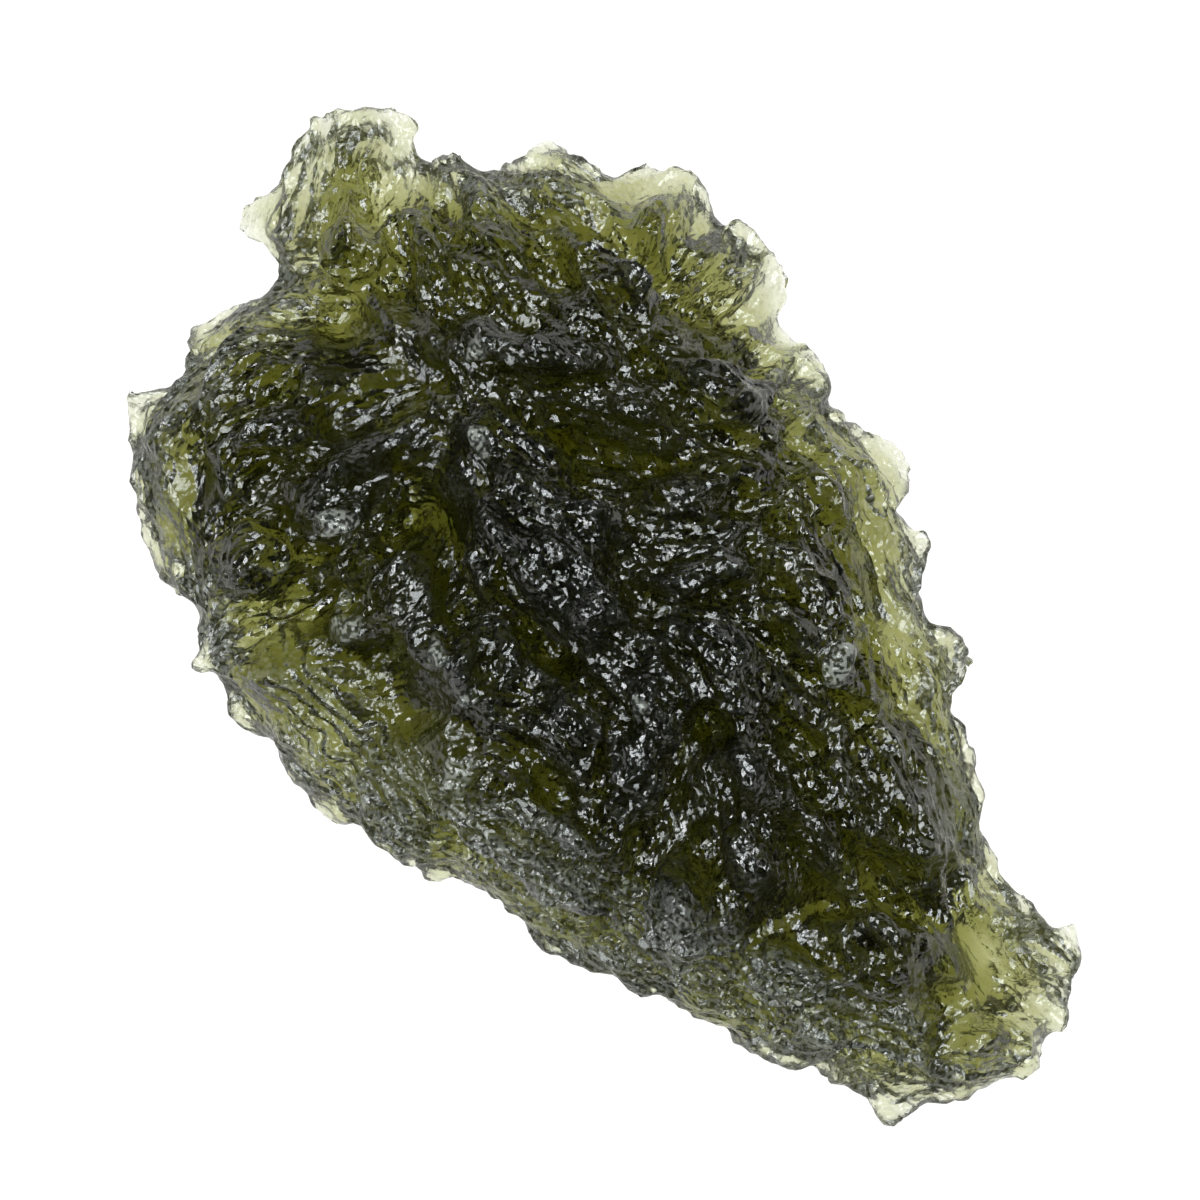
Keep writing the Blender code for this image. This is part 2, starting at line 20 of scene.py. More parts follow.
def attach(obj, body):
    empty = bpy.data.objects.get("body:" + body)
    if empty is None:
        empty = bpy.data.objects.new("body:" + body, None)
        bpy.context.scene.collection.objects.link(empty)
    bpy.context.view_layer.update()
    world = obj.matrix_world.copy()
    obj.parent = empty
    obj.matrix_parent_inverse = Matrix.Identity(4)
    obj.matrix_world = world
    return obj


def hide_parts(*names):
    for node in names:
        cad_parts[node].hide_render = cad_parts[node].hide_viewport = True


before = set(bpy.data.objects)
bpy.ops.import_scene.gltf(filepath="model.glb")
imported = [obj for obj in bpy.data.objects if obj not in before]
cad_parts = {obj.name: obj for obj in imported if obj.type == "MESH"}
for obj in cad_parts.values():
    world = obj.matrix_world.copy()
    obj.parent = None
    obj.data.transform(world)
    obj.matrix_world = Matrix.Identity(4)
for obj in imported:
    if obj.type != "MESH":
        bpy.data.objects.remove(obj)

UNIT = 0.001  # metres in one millimetre of the drawing
log = logging.getLogger("moldavite")


class Trait(Enum):
    """What is noted at every point of the skin, for the finish to read."""

    ROUGH = "rough"  # the skin's roughness
    FROST_AND_SHEEN = "frost_and_sheen"  # pale matt: 1 where wear has ground the skin on knobs and crests; on the flank's folds it is a painted sheen


class Hollow(NamedTuple):
    """A dished place in the drawing: its middle, its half length and half width, and its turn."""

    x: float
    y: float
    long: float
    wide: float
    turn: float


class Arcs(NamedTuple):
    """Curved ripples about a centre, between two radii, on the side that they open to."""

    x: float
    y: float
    inner: float
    outer: float
    toward: float
    spread: float


class Crumb(NamedTuple):
    """A small lump of clear glass that stands out of the skin."""

    x: float
    y: float
    long: float
    wide: float
    turn: float
    high: float


@dataclass(frozen=True)
class Pits:
    """One size of etched pit: spacing, half length ahead and behind, half width, and depth."""

    spacing: float
    ahead: float
    behind: float
    wide: float
    deep: float
    smallest: float = 0.75  # size of a pit drawn at random, from here
    largest: float = 1.3  # to here


def smooth_step(low: float, high: float, value: np.ndarray) -> np.ndarray:
    """A smooth climb from 0 to 1.

    Args:
        low: The value at which it starts.
        high: The value at which it ends.
        value: The values to turn into shares.

    Returns:
        The share at each value.
    """
    t = np.clip((value - low) / (high - low), 0.0, 1.0)
    return t * t * (3.0 - 2.0 * t)


def in_oval(points: np.ndarray, x: float, y: float, long: float, wide: float,
            turn: float) -> np.ndarray:
    """Squared distance from the middle of an oval in the drawing, 1 at its edge.

    Args:
        points: The points to measure.
        x: The middle's place along x.
        y: The middle's place along y.
        long: The oval's half length.
        wide: The oval's half width.
        turn: Degrees by which its length is turned up from x.

    Returns:
        One number for each point.
    """
    angle = math.radians(turn)
    dx, dy = points[:, 0] - x, points[:, 1] - y
    along = dx * math.cos(angle) + dy * math.sin(angle)
    across = dy * math.cos(angle) - dx * math.sin(angle)
    return (along / long) ** 2 + (across / wide) ** 2


def distance_to(points: np.ndarray, path: tuple[tuple[float, float], ...]) -> np.ndarray:
    """How far each point is, in the drawing, from a path of straight runs.

    Args:
        points: The points to measure.
        path: The corners of the path.

    Returns:
        One distance for each point.
    """
    nearest = np.full(len(points), np.inf)
    for first, last in zip(path, path[1:]):
        start, along = np.array(first), np.array(last) - np.array(first)
        t = np.clip((points[:, :2] - start) @ along / (along @ along), 0.0, 1.0)
        away = np.linalg.norm(points[:, :2] - (start + t[:, None] * along), axis=1)
        nearest = np.minimum(nearest, away)
    return nearest


def noise_at(points: np.ndarray, size: float, seed: float) -> np.ndarray:
    """Soft random values between about -1 and 1.

    Args:
        points: Where to read them.
        size: Distance between one high value and the next.
        seed: Picks the pattern.

    Returns:
        One value for each point.
    """
    shifted = points / size + seed
    return np.array([noise.noise(Vector(point)) for point in shifted])


def layered(points: np.ndarray, layers: tuple[tuple[float, float, float], ...]) -> np.ndarray:
    """Soft random values of several sizes, added up.

    Args:
        points: Where to read them.
        layers: The strength, size and seed of each.

    Returns:
        One value for each point.
    """
    return sum(strength * noise_at(points, size, seed) for strength, size, seed in layers)


def unit(vectors: np.ndarray, guard: float = 1e-12) -> np.ndarray:
    """Vectors brought to length 1.

    Args:
        vectors: The vectors, one a row.
        guard: What keeps a vector of no length from a division by zero.

    Returns:
        The unit vectors.
    """
    return vectors / (np.linalg.norm(vectors, axis=1)[:, None] + guard)


@dataclass
class Skin:
    """A closed mesh of triangles, in millimetres of the drawing until the stone is placed."""

    points: np.ndarray
    faces: np.ndarray

    def mesh(self, name: str) -> bpy.types.Mesh:
        """Makes a Blender mesh of the skin, in the skin's own units.

        Args:
            name: The mesh's name.

        Returns:
            The new mesh.
        """
        data = bpy.data.meshes.new(name)
        data.vertices.add(len(self.points))
        data.vertices.foreach_set("co", self.points.ravel())
        data.loops.add(self.faces.size)
        data.loops.foreach_set("vertex_index", self.faces.ravel())
        data.polygons.add(len(self.faces))
        data.polygons.foreach_set("loop_start", np.arange(0, self.faces.size, 3))
        data.update(calc_edges=True)
        return data

    def through(self, kind: str, settings: dict[str, Any]) -> "Skin":
        """The skin as one of Blender's modifiers leaves it.

        Args:
            kind: The modifier's type.
            settings: Its settings.

        Returns:
            The new skin.
        """
        holder = bpy.data.objects.new("holder", self.mesh("holder"))
        bpy.context.scene.collection.objects.link(holder)
        modifier = holder.modifiers.new(kind, kind)
        for name, value in settings.items():
            setattr(modifier, name, value)
        seen = holder.evaluated_get(bpy.context.evaluated_depsgraph_get()).data
        made = Skin.of(seen)
        bpy.data.objects.remove(holder)
        return made

    @staticmethod
    def of(data: bpy.types.Mesh) -> "Skin":
        """Reads a Blender mesh, in triangles.

        Args:
            data: The mesh.

        Returns:
            Its skin, in the mesh's own units.
        """
        points = np.empty(len(data.vertices) * 3)
        data.vertices.foreach_get("co", points)
        data.calc_loop_triangles()
        faces = np.empty(len(data.loop_triangles) * 3, np.int32)
        data.loop_triangles.foreach_get("vertices", faces)
        return Skin(points.reshape(-1, 3), faces.reshape(-1, 3))

    def pairs(self) -> tuple[np.ndarray, np.ndarray]:
        """Every pair of neighbouring points, both ways round."""
        sides = np.vstack([self.faces[:, [0, 1]], self.faces[:, [1, 2]], self.faces[:, [2, 0]]])
        return np.concatenate([sides[:, 0], sides[:, 1]]), np.concatenate([sides[:, 1], sides[:, 0]])

    def softened(self, values: np.ndarray, rounds: int, share: np.ndarray | float = 1.0) -> np.ndarray:
        """Evens values out between neighbours.

        Args:
            values: One row for each point.
            rounds: How often.
            share: How much of each round is taken, at every point or at each.

        Returns:
            The evened values.
        """
        here, there = self.pairs()
        count = np.bincount(here, minlength=len(self.points))
        columns = values.reshape(len(values), -1).T.copy()
        for _ in range(rounds):
            for column in columns:
                mean = np.bincount(here, weights=column[there], minlength=len(column)) / count
                column += share * (mean - column)
        return columns.T.reshape(values.shape)

    def normals(self, rounds: int) -> np.ndarray:
        """The way that the skin faces at each point.

        Args:
            rounds: How often the directions are evened out between neighbours.

        Returns:
            Unit vectors.
        """
        a, b, c = (self.points[self.faces[:, k]] for k in range(3))
        facing = np.cross(b - a, c - a)
        total = np.zeros_like(self.points)
        for k in range(3):
            for axis in range(3):
                total[:, axis] += np.bincount(
                    self.faces[:, k], weights=facing[:, axis], minlength=len(self.points))
        return unit(self.softened(unit(total), rounds))

    def tree(self) -> KDTree:
        """Makes a lookup of the points by place.

        Returns:
            The lookup, which gives a point's number.
        """
        tree = KDTree(len(self.points))
        for i, point in enumerate(self.points):
            tree.insert(point, i)
        tree.balance()
        return tree


@dataclass(frozen=True)
class Drawing:
    """Where the drawing lies in the frame: the stone's length is turned onto X there."""

    dip: float = math.radians(54.0)
    middle: tuple[float, float, float] = (-1.142, 0.308, 0.0)

    def _turn(self) -> np.ndarray:
        """The matrix that turns the drawing onto the frame."""
        cos, sin = math.cos(self.dip), math.sin(self.dip)
        return np.array([[cos, -sin, 0.0], [sin, cos, 0.0], [0.0, 0.0, 1.0]])

    def from_frame(self, points: np.ndarray) -> np.ndarray:
        """Takes points from the frame, in metres, to the drawing, in millimetres."""
        return (points / UNIT - np.array(self.middle)) @ self._turn()

    def to_frame(self, points: np.ndarray) -> np.ndarray:
        """Takes points from the drawing, in millimetres, to the frame, in metres."""
        return (points @ self._turn().T + np.array(self.middle)) * UNIT

    def point(self, x: float, y: float, z: float) -> Vector:
        """One point of the drawing, in the frame."""
        return Vector(self.to_frame(np.array([[x, y, z]]))[0])


WINDOWS = (
    Hollow(-6.7, 7.2, 2.5, 2.1, 10),  # upper window
    Hollow(-6.8, 5.0, 2.0, 1.2, -15),  # middle window
    Hollow(-4.7, 3.1, 2.5, 1.4, 80),  # slot window
    Hollow(-6.9, -3.6, 4.6, 2.9, -42),  # bright bowl
    Hollow(-12.0, 2.8, 1.9, 1.5, 75),  # arched pit
    Hollow(8.3, 0.2, 2.4, 0.6, -60),  # green streak
    Hollow(5.7, -9.3, 2.1, 1.7, 20),  # tail window
    Hollow(10.6, -11.7, 2.3, 1.6, 75),  # tip window
)
ARCS = (
    Arcs(-12.9, 3.4, 0.5, 2.2, -30, 75),
    Arcs(-8.6, 10.4, 1.2, 3.0, -85, 45),
    Arcs(-6.2, -6.2, 1.6, 3.6, 60, 50),
    Arcs(9.4, -10.0, 1.2, 2.8, -60, 40),
)
LOWER_EDGE = (
    (-12.3, -1.9), (-10.7, -3.9), (-9.2, -5.4), (-7.6, -6.7), (-5.0, -8.4), (-2.8, -9.2),
    (-0.5, -11.0), (2.0, -12.0), (4.7, -13.6), (7.2, -14.5), (8.7, -15.6), (12.9, -14.2),
)
CRUMBS = (
    Crumb(-9.7, 0.9, 0.5, 0.22, 25, 0.4), Crumb(-7.8, 2.3, 0.75, 0.55, 20, 0.5),
    Crumb(-3.7, 7.4, 0.5, 0.5, 0, 0.45), Crumb(-3.5, 4.6, 0.35, 0.6, 10, 0.45),
    Crumb(-7.6, 0.0, 0.45, 0.3, 60, 0.4), Crumb(-7.4, -0.9, 0.6, 0.35, -10, 0.45),
    Crumb(-4.8, -1.5, 0.5, 0.4, 70, 0.5), Crumb(-4.0, -2.7, 0.45, 0.35, 30, 0.45),
    Crumb(-4.0, -5.2, 0.9, 0.5, 35, 0.5), Crumb(1.2, -3.2, 0.45, 0.28, 75, 0.4),
    Crumb(-1.2, -8.4, 0.3, 0.3, 0, 0.4), Crumb(0.9, -8.6, 0.5, 0.3, 20, 0.45),
    Crumb(7.2, -1.6, 1.3, 0.4, 60, 0.45), Crumb(5.2, 6.6, 0.5, 0.35, 40, 0.3),
)

# The way the flutes run, in degrees up from x, at places all over the stone
GRAIN = (
    (-7.5, 12.0, 80), (-9.0, 8.7, 175), (-4.5, 11.1, 120), (-1.2, 11.1, 135), (3.0, 11.4, 60),
    (5.4, 9.0, 35), (-7.8, 3.6, 20), (-9.9, 2.7, 28), (-3.0, 1.2, 125), (-1.2, 3.0, 130),
    (-4.5, 0.0, 55), (0.0, 4.5, 150), (3.0, 1.2, 10), (4.2, -2.4, 140), (1.2, -7.5, 65),
    (3.0, -7.5, 90), (4.8, -6.9, 128), (6.9, -7.2, 118), (8.1, 0.6, 122), (10.5, -4.8, 115),
    (9.9, -9.0, 120), (12.0, -11.4, 160), (-1.2, -8.4, 155), (4.5, -11.7, 160),
    (-7.5, -5.7, 140), (-6.3, -3.0, 10), (-12.0, 2.7, 105), (-11.5, 6.0, 40),
)


class Signal:
    """A number that changes over a surface, as a node gives it, open to Python's arithmetic."""

    def __init__(self, bench: "Bench", socket: bpy.types.NodeSocket) -> None:
        """Keeps the socket and the bench that its node stands on."""
        self.bench = bench
        self.socket = socket

    def _math(self, operation: str, first: Any, second: Any) -> "Signal":
        """Adds one Math node.

        Args:
            operation: What it does.
            first: Its first operand.
            second: Its second operand.

        Returns:
            What it gives.
        """
        made = self.bench.node("ShaderNodeMath", {"operation": operation}, {0: first, 1: second})
        return Signal(self.bench, made.outputs[0])

    def __add__(self, other: Any) -> "Signal":
        """This number and another."""
        return self._math("ADD", self, other)

    __radd__ = __add__

    def __mul__(self, other: Any) -> "Signal":
        """This number times another."""
        return self._math("MULTIPLY", self, other)

    __rmul__ = __mul__


class Bench:
    """A node tree, and the one way in which nodes are added to it."""

    def __init__(self, tree: bpy.types.NodeTree) -> None:
        """Clears the tree."""
        self.tree = tree
        tree.nodes.clear()

    def node(self, kind: str, settings: dict[str, Any] | None = None,
             sockets: dict[str | int, Any] | None = None) -> bpy.types.Node:
        """Adds a node.

        Args:
            kind: The node's type.
            settings: Its settings, which are set first.
            sockets: Values, sockets or signals for its inputs, by name or number.

        Returns:
            The new node.
        """
        made = self.tree.nodes.new(kind)
        for name, value in (settings or {}).items():
            setattr(made, name, value)
        for key, value in (sockets or {}).items():
            source = value.socket if isinstance(value, Signal) else value
            if isinstance(source, bpy.types.NodeSocket):
                self.tree.links.new(source, made.inputs[key])
            else:
                made.inputs[key].default_value = source
        return made

    def signal(self, kind: str, settings: dict[str, Any] | None = None,
               sockets: dict[str | int, Any] | None = None, output: str | int = 0) -> Signal:
        """Adds a node and takes one of its outputs as a number.

        Args:
            kind: The node's type.
            settings: Its settings.
            sockets: What its inputs get.
            output: The output's name or number.

        Returns:
            The output.
        """
        return Signal(self, self.node(kind, settings, sockets).outputs[output])

    def trait(self, trait: Trait) -> Signal:
        """Reads what is noted on the skin."""
        return self.signal("ShaderNodeAttribute", {"attribute_name": trait.value}, None, "Fac")

    def blend(self, factor: Signal, first: Any, second: Any) -> bpy.types.NodeSocket:
        """Mixes two colours.

        Args:
            factor: The share of the second.
            first: One colour.
            second: The other colour.

        Returns:
            The mixed colour's socket.
        """
        made = self.node("ShaderNodeMix", {"data_type": "RGBA"}, {0: factor, 6: first, 7: second})
        return made.outputs[2]


@dataclass(frozen=True)
class EtchedGlass:
    """Clear natural glass with a finely etched skin."""

    name: str = "etched moldavite glass"
    refraction: float = 1.49
    swallowed: tuple[float, float, float] = (0.462, 0.47, 0.0)  # what a long way through it leaves
    depth: float = 1060.0  # absorption for each metre
    tint: tuple[float, float, float] = (0.97, 0.98, 0.93)
    # The pale matt: frost where wear has ground the skin, and on the flank's folds a painted sheen
    frost_and_sheen: tuple[float, float, float] = (0.56, 0.58, 0.51)
    matt_rough: float = 0.6
    matt_cover: float = 0.45  # how much of a fully covered grain is hidden by the pale matt
    matt_even: float = 0.1  # share of that between the grains
    matt_grain: tuple[float, float] = (0.42, 0.6)  # noise at which a grain starts, and is full
    grit: float = 0.00015  # metres across a grain of the skin
    grit_depth: float = 0.00002

    def material(self) -> bpy.types.Material:
        """Makes the material.

        Returns:
            The material: clear glass with a pale matt on the skin, which is worn frost on knobs and
                crests and a painted sheen on the flank's folds, and absorption inside.
        """
        made = bpy.data.materials.new(self.name)
        made.use_nodes = True
        bench = Bench(made.node_tree)
        grains = bench.signal("ShaderNodeTexNoise", None, {
            "Vector": bench.node("ShaderNodeTexCoord").outputs["Object"],
            "Scale": 1.0 / self.grit, "Detail": 0.0,
        })
        relief = bench.node("ShaderNodeBump", None, {
            "Strength": 1.0, "Distance": self.grit_depth, "Height": grains,
        }).outputs[0]
        starts, full = self.matt_grain
        speckle = bench.signal("ShaderNodeMapRange", {"interpolation_type": "SMOOTHSTEP"}, {
            "Value": grains, "From Min": starts, "From Max": full,
        })
        cover = self.matt_cover * (self.matt_even + (1.0 - self.matt_even) * speckle)
        glass = bench.node("ShaderNodeBsdfPrincipled", None, {
            "Base Color": (*self.tint, 1.0),
            "Roughness": bench.trait(Trait.ROUGH),
            "IOR": self.refraction,
            "Transmission Weight": 1.0,
            "Normal": relief,
        })
        # The pale matt: worn frost, and on the flank's folds a painted sheen
        matt = bench.node("ShaderNodeBsdfPrincipled", None, {
            "Base Color": (*self.frost_and_sheen, 1.0), "Roughness": self.matt_rough, "Normal": relief,
        })
        skin = bench.node("ShaderNodeMixShader", None, {
            0: cover * bench.trait(Trait.FROST_AND_SHEEN), 1: glass.outputs[0], 2: matt.outputs[0],
        })
        inside = bench.node("ShaderNodeVolumeAbsorption", None, {
            "Color": (*self.swallowed, 1.0), "Density": self.depth,
        })
        bench.node("ShaderNodeOutputMaterial", None, {
            "Surface": skin.outputs[0], "Volume": inside.outputs[0],
        })
        return made


@dataclass(frozen=True)
class GlowingFloor:
    """The plain pale floor, lit so evenly that it glows."""

    name: str = "pale floor"
    colour: tuple[float, float, float] = (1.0, 1.0, 0.985)
    glow: float = 1.15

    def material(self) -> bpy.types.Material:
        """Makes the material.

        Returns:
            The material, which glows and which no light rays are aimed at.
        """
        made = bpy.data.materials.new(self.name)
        made.use_nodes = True
        bench = Bench(made.node_tree)
        surface = bench.node("ShaderNodeEmission", None, {
            "Color": (*self.colour, 1.0), "Strength": self.glow,
        })
        bench.node("ShaderNodeOutputMaterial", None, {"Surface": surface.outputs[0]})
        made.cycles.emission_sampling = "NONE"
        return made


@dataclass(frozen=True)
class Ripples:
    """The curved ripples in the windows, which fade at the ends of each run."""

    step: float = 0.42  # from one ripple to the next
    deep: float = 0.03
    level: float = 0.6  # share of the depth by which the ridges stand out of the skin
    inner_fade: float = 0.3  # length over which a run fades towards its centre
    outer_fade: float = 0.5  # and away from it
    side_fade: float = 0.6  # share of a run's spread at which it starts to fade
    patch: float = 0.8  # across a stronger or weaker patch
    usual: float = 0.5  # strength of a ripple between such patches
    wander: tuple[tuple[float, float], ...] = ((0.5, 1.6), (0.25, 0.5))  # strength and size of each layer

    def relief(self, points: np.ndarray) -> np.ndarray:
        """Relief of all runs.

        Args:
            points: The skin's points.

        Returns:
            How far each point moves out.
        """
        relief = np.zeros(len(points))
        for arcs in ARCS:
            dx, dy = points[:, 0] - arcs.x, points[:, 1] - arcs.y
            away = np.hypot(dx, dy)
            off = np.degrees(np.arctan2(dy, dx)) - arcs.toward
            off = np.abs((off + 180.0) % 360.0 - 180.0)
            band = smooth_step(arcs.inner - self.inner_fade, arcs.inner, away)
            band *= 1.0 - smooth_step(arcs.outer - self.outer_fade, arcs.outer, away)
            band *= 1.0 - smooth_step(arcs.spread * self.side_fade, arcs.spread, off)
            wander = layered(points, ((*self.wander[0], arcs.x), (*self.wander[1], arcs.y)))
            wave = np.abs(np.sin((away + wander) * math.pi / self.step))
            strength = np.clip(self.usual + noise_at(points, self.patch, arcs.y), 0.0, 1.0)
            relief += band * strength * self.deep * (self.level - wave)
        return relief


@dataclass(frozen=True)
class Flank:
    """The velvety flank above the lower edge, with wavy folds that run along it."""

    reach: tuple[float, float] = (2.2, 3.6)  # how far in from the lower edge it is full, and ends
    head: tuple[float, float] = (-11.0, -8.0)  # from where to where along the stone it sets in
    tail: tuple[float, float] = (8.5, 11.5)  # and from where to where it ends
    facing: tuple[float, float] = (-0.1, 0.15)  # how far up the skin has to face for it
    step: float = 0.5  # from one fold to the next
    deep: float = 0.24
    level: float = 0.45  # share of the depth by which the folds stand out of the skin
    climb: float = 0.5  # how far a fold shifts for each millimetre of height
    # How the folds wander: the strength, size and seed of each layer
    wander: tuple[tuple[float, float, float], ...] = ((0.5, 1.4, 3.1), (0.22, 0.6, 8.2))

    def share(self, points: np.ndarray, normals: np.ndarray) -> np.ndarray:
        """1 on the flank, 0 elsewhere.

        Args:
            points: The skin's points.
            normals: The way that it faces.

        Returns:
            A share for each point.
        """
        inward = distance_to(points, LOWER_EDGE)
        on_top = smooth_step(*self.facing, normals[:, 2])
        ends = smooth_step(*self.head, points[:, 0]) * (1.0 - smooth_step(*self.tail, points[:, 0]))
        return (1.0 - smooth_step(*self.reach, inward)) * on_top * ends

    def relief(self, points: np.ndarray) -> np.ndarray:
        """Relief of the folds.

        Args:
            points: The skin's points.

        Returns:
            How far each point moves out.
        """
        wander = layered(points, self.wander)
        across = (distance_to(points, LOWER_EDGE) + self.climb * points[:, 2] + wander) / self.step
        return self.deep * (self.level - np.abs(np.sin(across * math.pi)))


@dataclass(frozen=True)
class Lumps:
    """The crumbs of clear glass, with ragged outlines."""

    share: float = 0.5  # of a crumb's height that is added here: the solid has the larger ones too
    ragged: float = 0.35  # how far an outline strays
    ragged_size: float = 0.6
    seeds: tuple[float, float, float] = (4.1, 9.7, 13.3)
    blunt: float = 0.8  # the power that shapes the dome: the smaller, the blunter
    within: float = 6.0  # squared distance from a crumb, in its own size, that is looked at
    facing: tuple[float, float] = (0.2, 0.5)  # how far up the skin has to face for them

    def relief(self, points: np.ndarray, normals: np.ndarray) -> np.ndarray:
        """Relief of all crumbs.

        Args:
            points: The skin's points.
            normals: The way that it faces.

        Returns:
            How far each point moves out.
        """
        relief = np.zeros(len(points))
        for crumb in CRUMBS:
            near = np.flatnonzero(in_oval(points, *crumb[:5]) < self.within)
            read = points[near] + self.ragged * np.stack(
                [noise_at(points[near], self.ragged_size, seed) for seed in self.seeds], axis=1)
            inside = in_oval(read, *crumb[:5])
            relief[near] += self.share * crumb.high * np.clip(1.0 - inside, 0.0, None) ** self.blunt
        return relief * smooth_step(*self.facing, normals[:, 2])


@dataclass(frozen=True)
class Nicks:
    """The small nicks that break the rim into thorns, and only go inward."""

    deep: float = 0.2
    size: float = 0.55  # across a nick
    seed: float = 5.7
    usual: float = 0.25  # share of the depth between a deep nick and a thorn
    most: float = 0.8  # share of it in the deepest nick
    full: float = 0.2  # how far in from the outline they are whole
    end: float = 0.9  # and how far in they end

    def cut(self, skin: Skin, normals: np.ndarray, reach: np.ndarray) -> None:
        """Cuts them into the skin.

        Args:
            skin: The skin, which is changed.
            normals: The way that it faces.
            reach: How far each point lies in from the outline.
        """
        near = np.flatnonzero(reach < self.end)
        depth = np.clip(self.usual + noise_at(skin.points[near], self.size, self.seed), 0.0, self.most)
        outward = normals[near] * np.array([1.0, 1.0, 0.0])
        share = 1.0 - smooth_step(self.full, self.end, reach[near])
        skin.points[near] -= outward * (self.deep * depth * share)[:, None]


@dataclass
class Ground:
    """What kind of skin lies at each point, as shares from 0 to 1."""

    calm: np.ndarray  # in a window
    velvet: np.ndarray  # on the folded flank
    crumbs: np.ndarray  # on a crumb
    thin: np.ndarray  # in the thin rim

    def at(self, index: np.ndarray) -> "Ground":
        """The shares of picked points."""
        return Ground(self.calm[index], self.velvet[index], self.crumbs[index], self.thin[index])


@dataclass
class Moldavite:
    """The stone: its sizes, in millimetres, and how its skin is made and dressed."""

    node: str = "moldavite"
    slot: str = "glass"
    drawing: Drawing = field(default_factory=Drawing)
    glass: EtchedGlass = field(default_factory=EtchedGlass)
    seed: int = 11

    voxel: float = 0.075  # between points while the skin is carved
    triangles: int = 196_000  # left when it is done
    evened: int = 18  # rounds that take the solid's facets away
    evened_share: float = 0.6  # of each of those rounds
    last_share: float = 0.4  # of the one round that ends the carving
    facing_rounds: int = 12  # that even out the way the body faces
    carved_rounds: int = 4  # and the way the carved skin faces
    cell: float = 0.15  # across a cell of the map that tells how far in from the outline a point is
    hint_core: float = 0.3  # keeps a hint of the flutes' run from counting without limit at its place

    ledges: Pits = Pits(spacing=1.35, ahead=0.9, behind=2.2, wide=0.85, deep=0.46)
    scales: Pits = Pits(spacing=0.5, ahead=0.42, behind=1.2, wide=0.29, deep=0.125)
    pits: Pits = Pits(spacing=0.27, ahead=0.28, behind=0.65, wide=0.15, deep=0.036)
    specks: Pits = Pits(spacing=0.19, ahead=0.15, behind=0.22, wide=0.12, deep=0.016)
    ripples: Ripples = Ripples()
    flank: Flank = Flank()
    lumps: Lumps = Lumps()
    nicks: Nicks = Nicks()

    calm_ledges: float = 0.25  # share of the larger relief that is left in a window
    calm_pits: float = 0.75  # share of the fine pits that is left in a window
    hidden_pits: float = 0.6  # share of the pits' depth on the underside
    flank_loss: float = 0.3  # share of the larger relief that the folds take the place of
    rim_relief: float = 0.55  # share of the larger relief at the outline
    inner_relief: float = 0.45  # and what comes to it further in
    window_edge: tuple[float, float] = (0.45, 1.05)  # squared distance at which it is full, and ends
    window_reach: tuple[float, float] = (0.4, 1.2)  # how far in from the outline windows set in
    flank_reach: tuple[float, float] = (0.3, 1.1)  # and the flank
    relief_reach: tuple[float, float] = (0.2, 1.4)  # and the inner relief
    thin_reach: tuple[float, float] = (0.8, 2.4)  # and from where to where the rim ends
    underneath: tuple[float, float] = (0.0, 0.3)  # how far down the skin faces on the underside
    crumb_height: tuple[float, float] = (0.03, 0.15)  # relief at which a crumb starts, and is full

    crest_height: float = 0.02  # how far a full crest stands out of the skin around it
    crest_start: float = 0.1  # share of that at which a crest starts
    crest_rounds: int = 4  # that even out the skin, to tell what stands out of it
    crest_frost: float = 0.03  # frost on the crests among the pits
    crumb_frost: tuple[float, float] = (0.1, 0.5)  # on a crumb, and what its own crests add
    painted_flank_sheen: float = 0.4  # painted sheen: pale matt on the folds of the flank, for the grey sheen of light on them
    flank_sheen_share: tuple[float, float] = (0.05, 0.95)  # share of that painted sheen between the flank's crests, and added on them
    rim_frost: float = 0.22  # on the teeth of the rim

    rough: float = 0.13  # roughness among the pits
    rough_window: float = 0.17
    rough_flank: float = 0.2
    rough_rim: float = 0.2
    rough_under: float = 0.36

    def build(self) -> bpy.types.Object:
        """Makes the stone, hangs it on the root body and hides its solid.

        Returns:
            The stone.
        """
        solid = self._solid()
        carved, ground = self._carved(self._body(solid))
        skin = carved.through("DECIMATE", {"ratio": self.triangles / len(carved.faces)})
        log.info("skin has %d points and %d triangles", len(skin.points), len(skin.faces))
        tree = carved.tree()
        nearest = np.array([tree.find(point)[1] for point in skin.points])
        stone = self._object(skin, ground.at(nearest), solid)
        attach(stone, "root")
        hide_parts(self.node)
        return stone

    def _solid(self) -> Skin:
        """The solid's own skin, in the drawing, with each of its corners once.

        Returns:
            The skin, with the solid's facets.
        """
        solid = Skin.of(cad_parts[self.node].data)
        places, index = np.unique(np.round(solid.points / UNIT, 4), axis=0, return_inverse=True)
        return Skin(self.drawing.from_frame(places * UNIT), index.reshape(-1)[solid.faces])

    def _body(self, solid: Skin) -> Skin:
        """The solid's form with closely spaced points and no facets.

        Args:
            solid: The solid's own skin.

        Returns:
            The skin before any carving.
        """
        fine = solid.through("REMESH", {"mode": "VOXEL", "voxel_size": self.voxel})
        fine.points = fine.softened(fine.points, self.evened, self.evened_share)
        return fine

    def _reach(self, skin: Skin) -> np.ndarray:
        """How far each point lies in from the outline, seen from above.

        Args:
            skin: The skin.

        Returns:
            One distance for each point.
        """
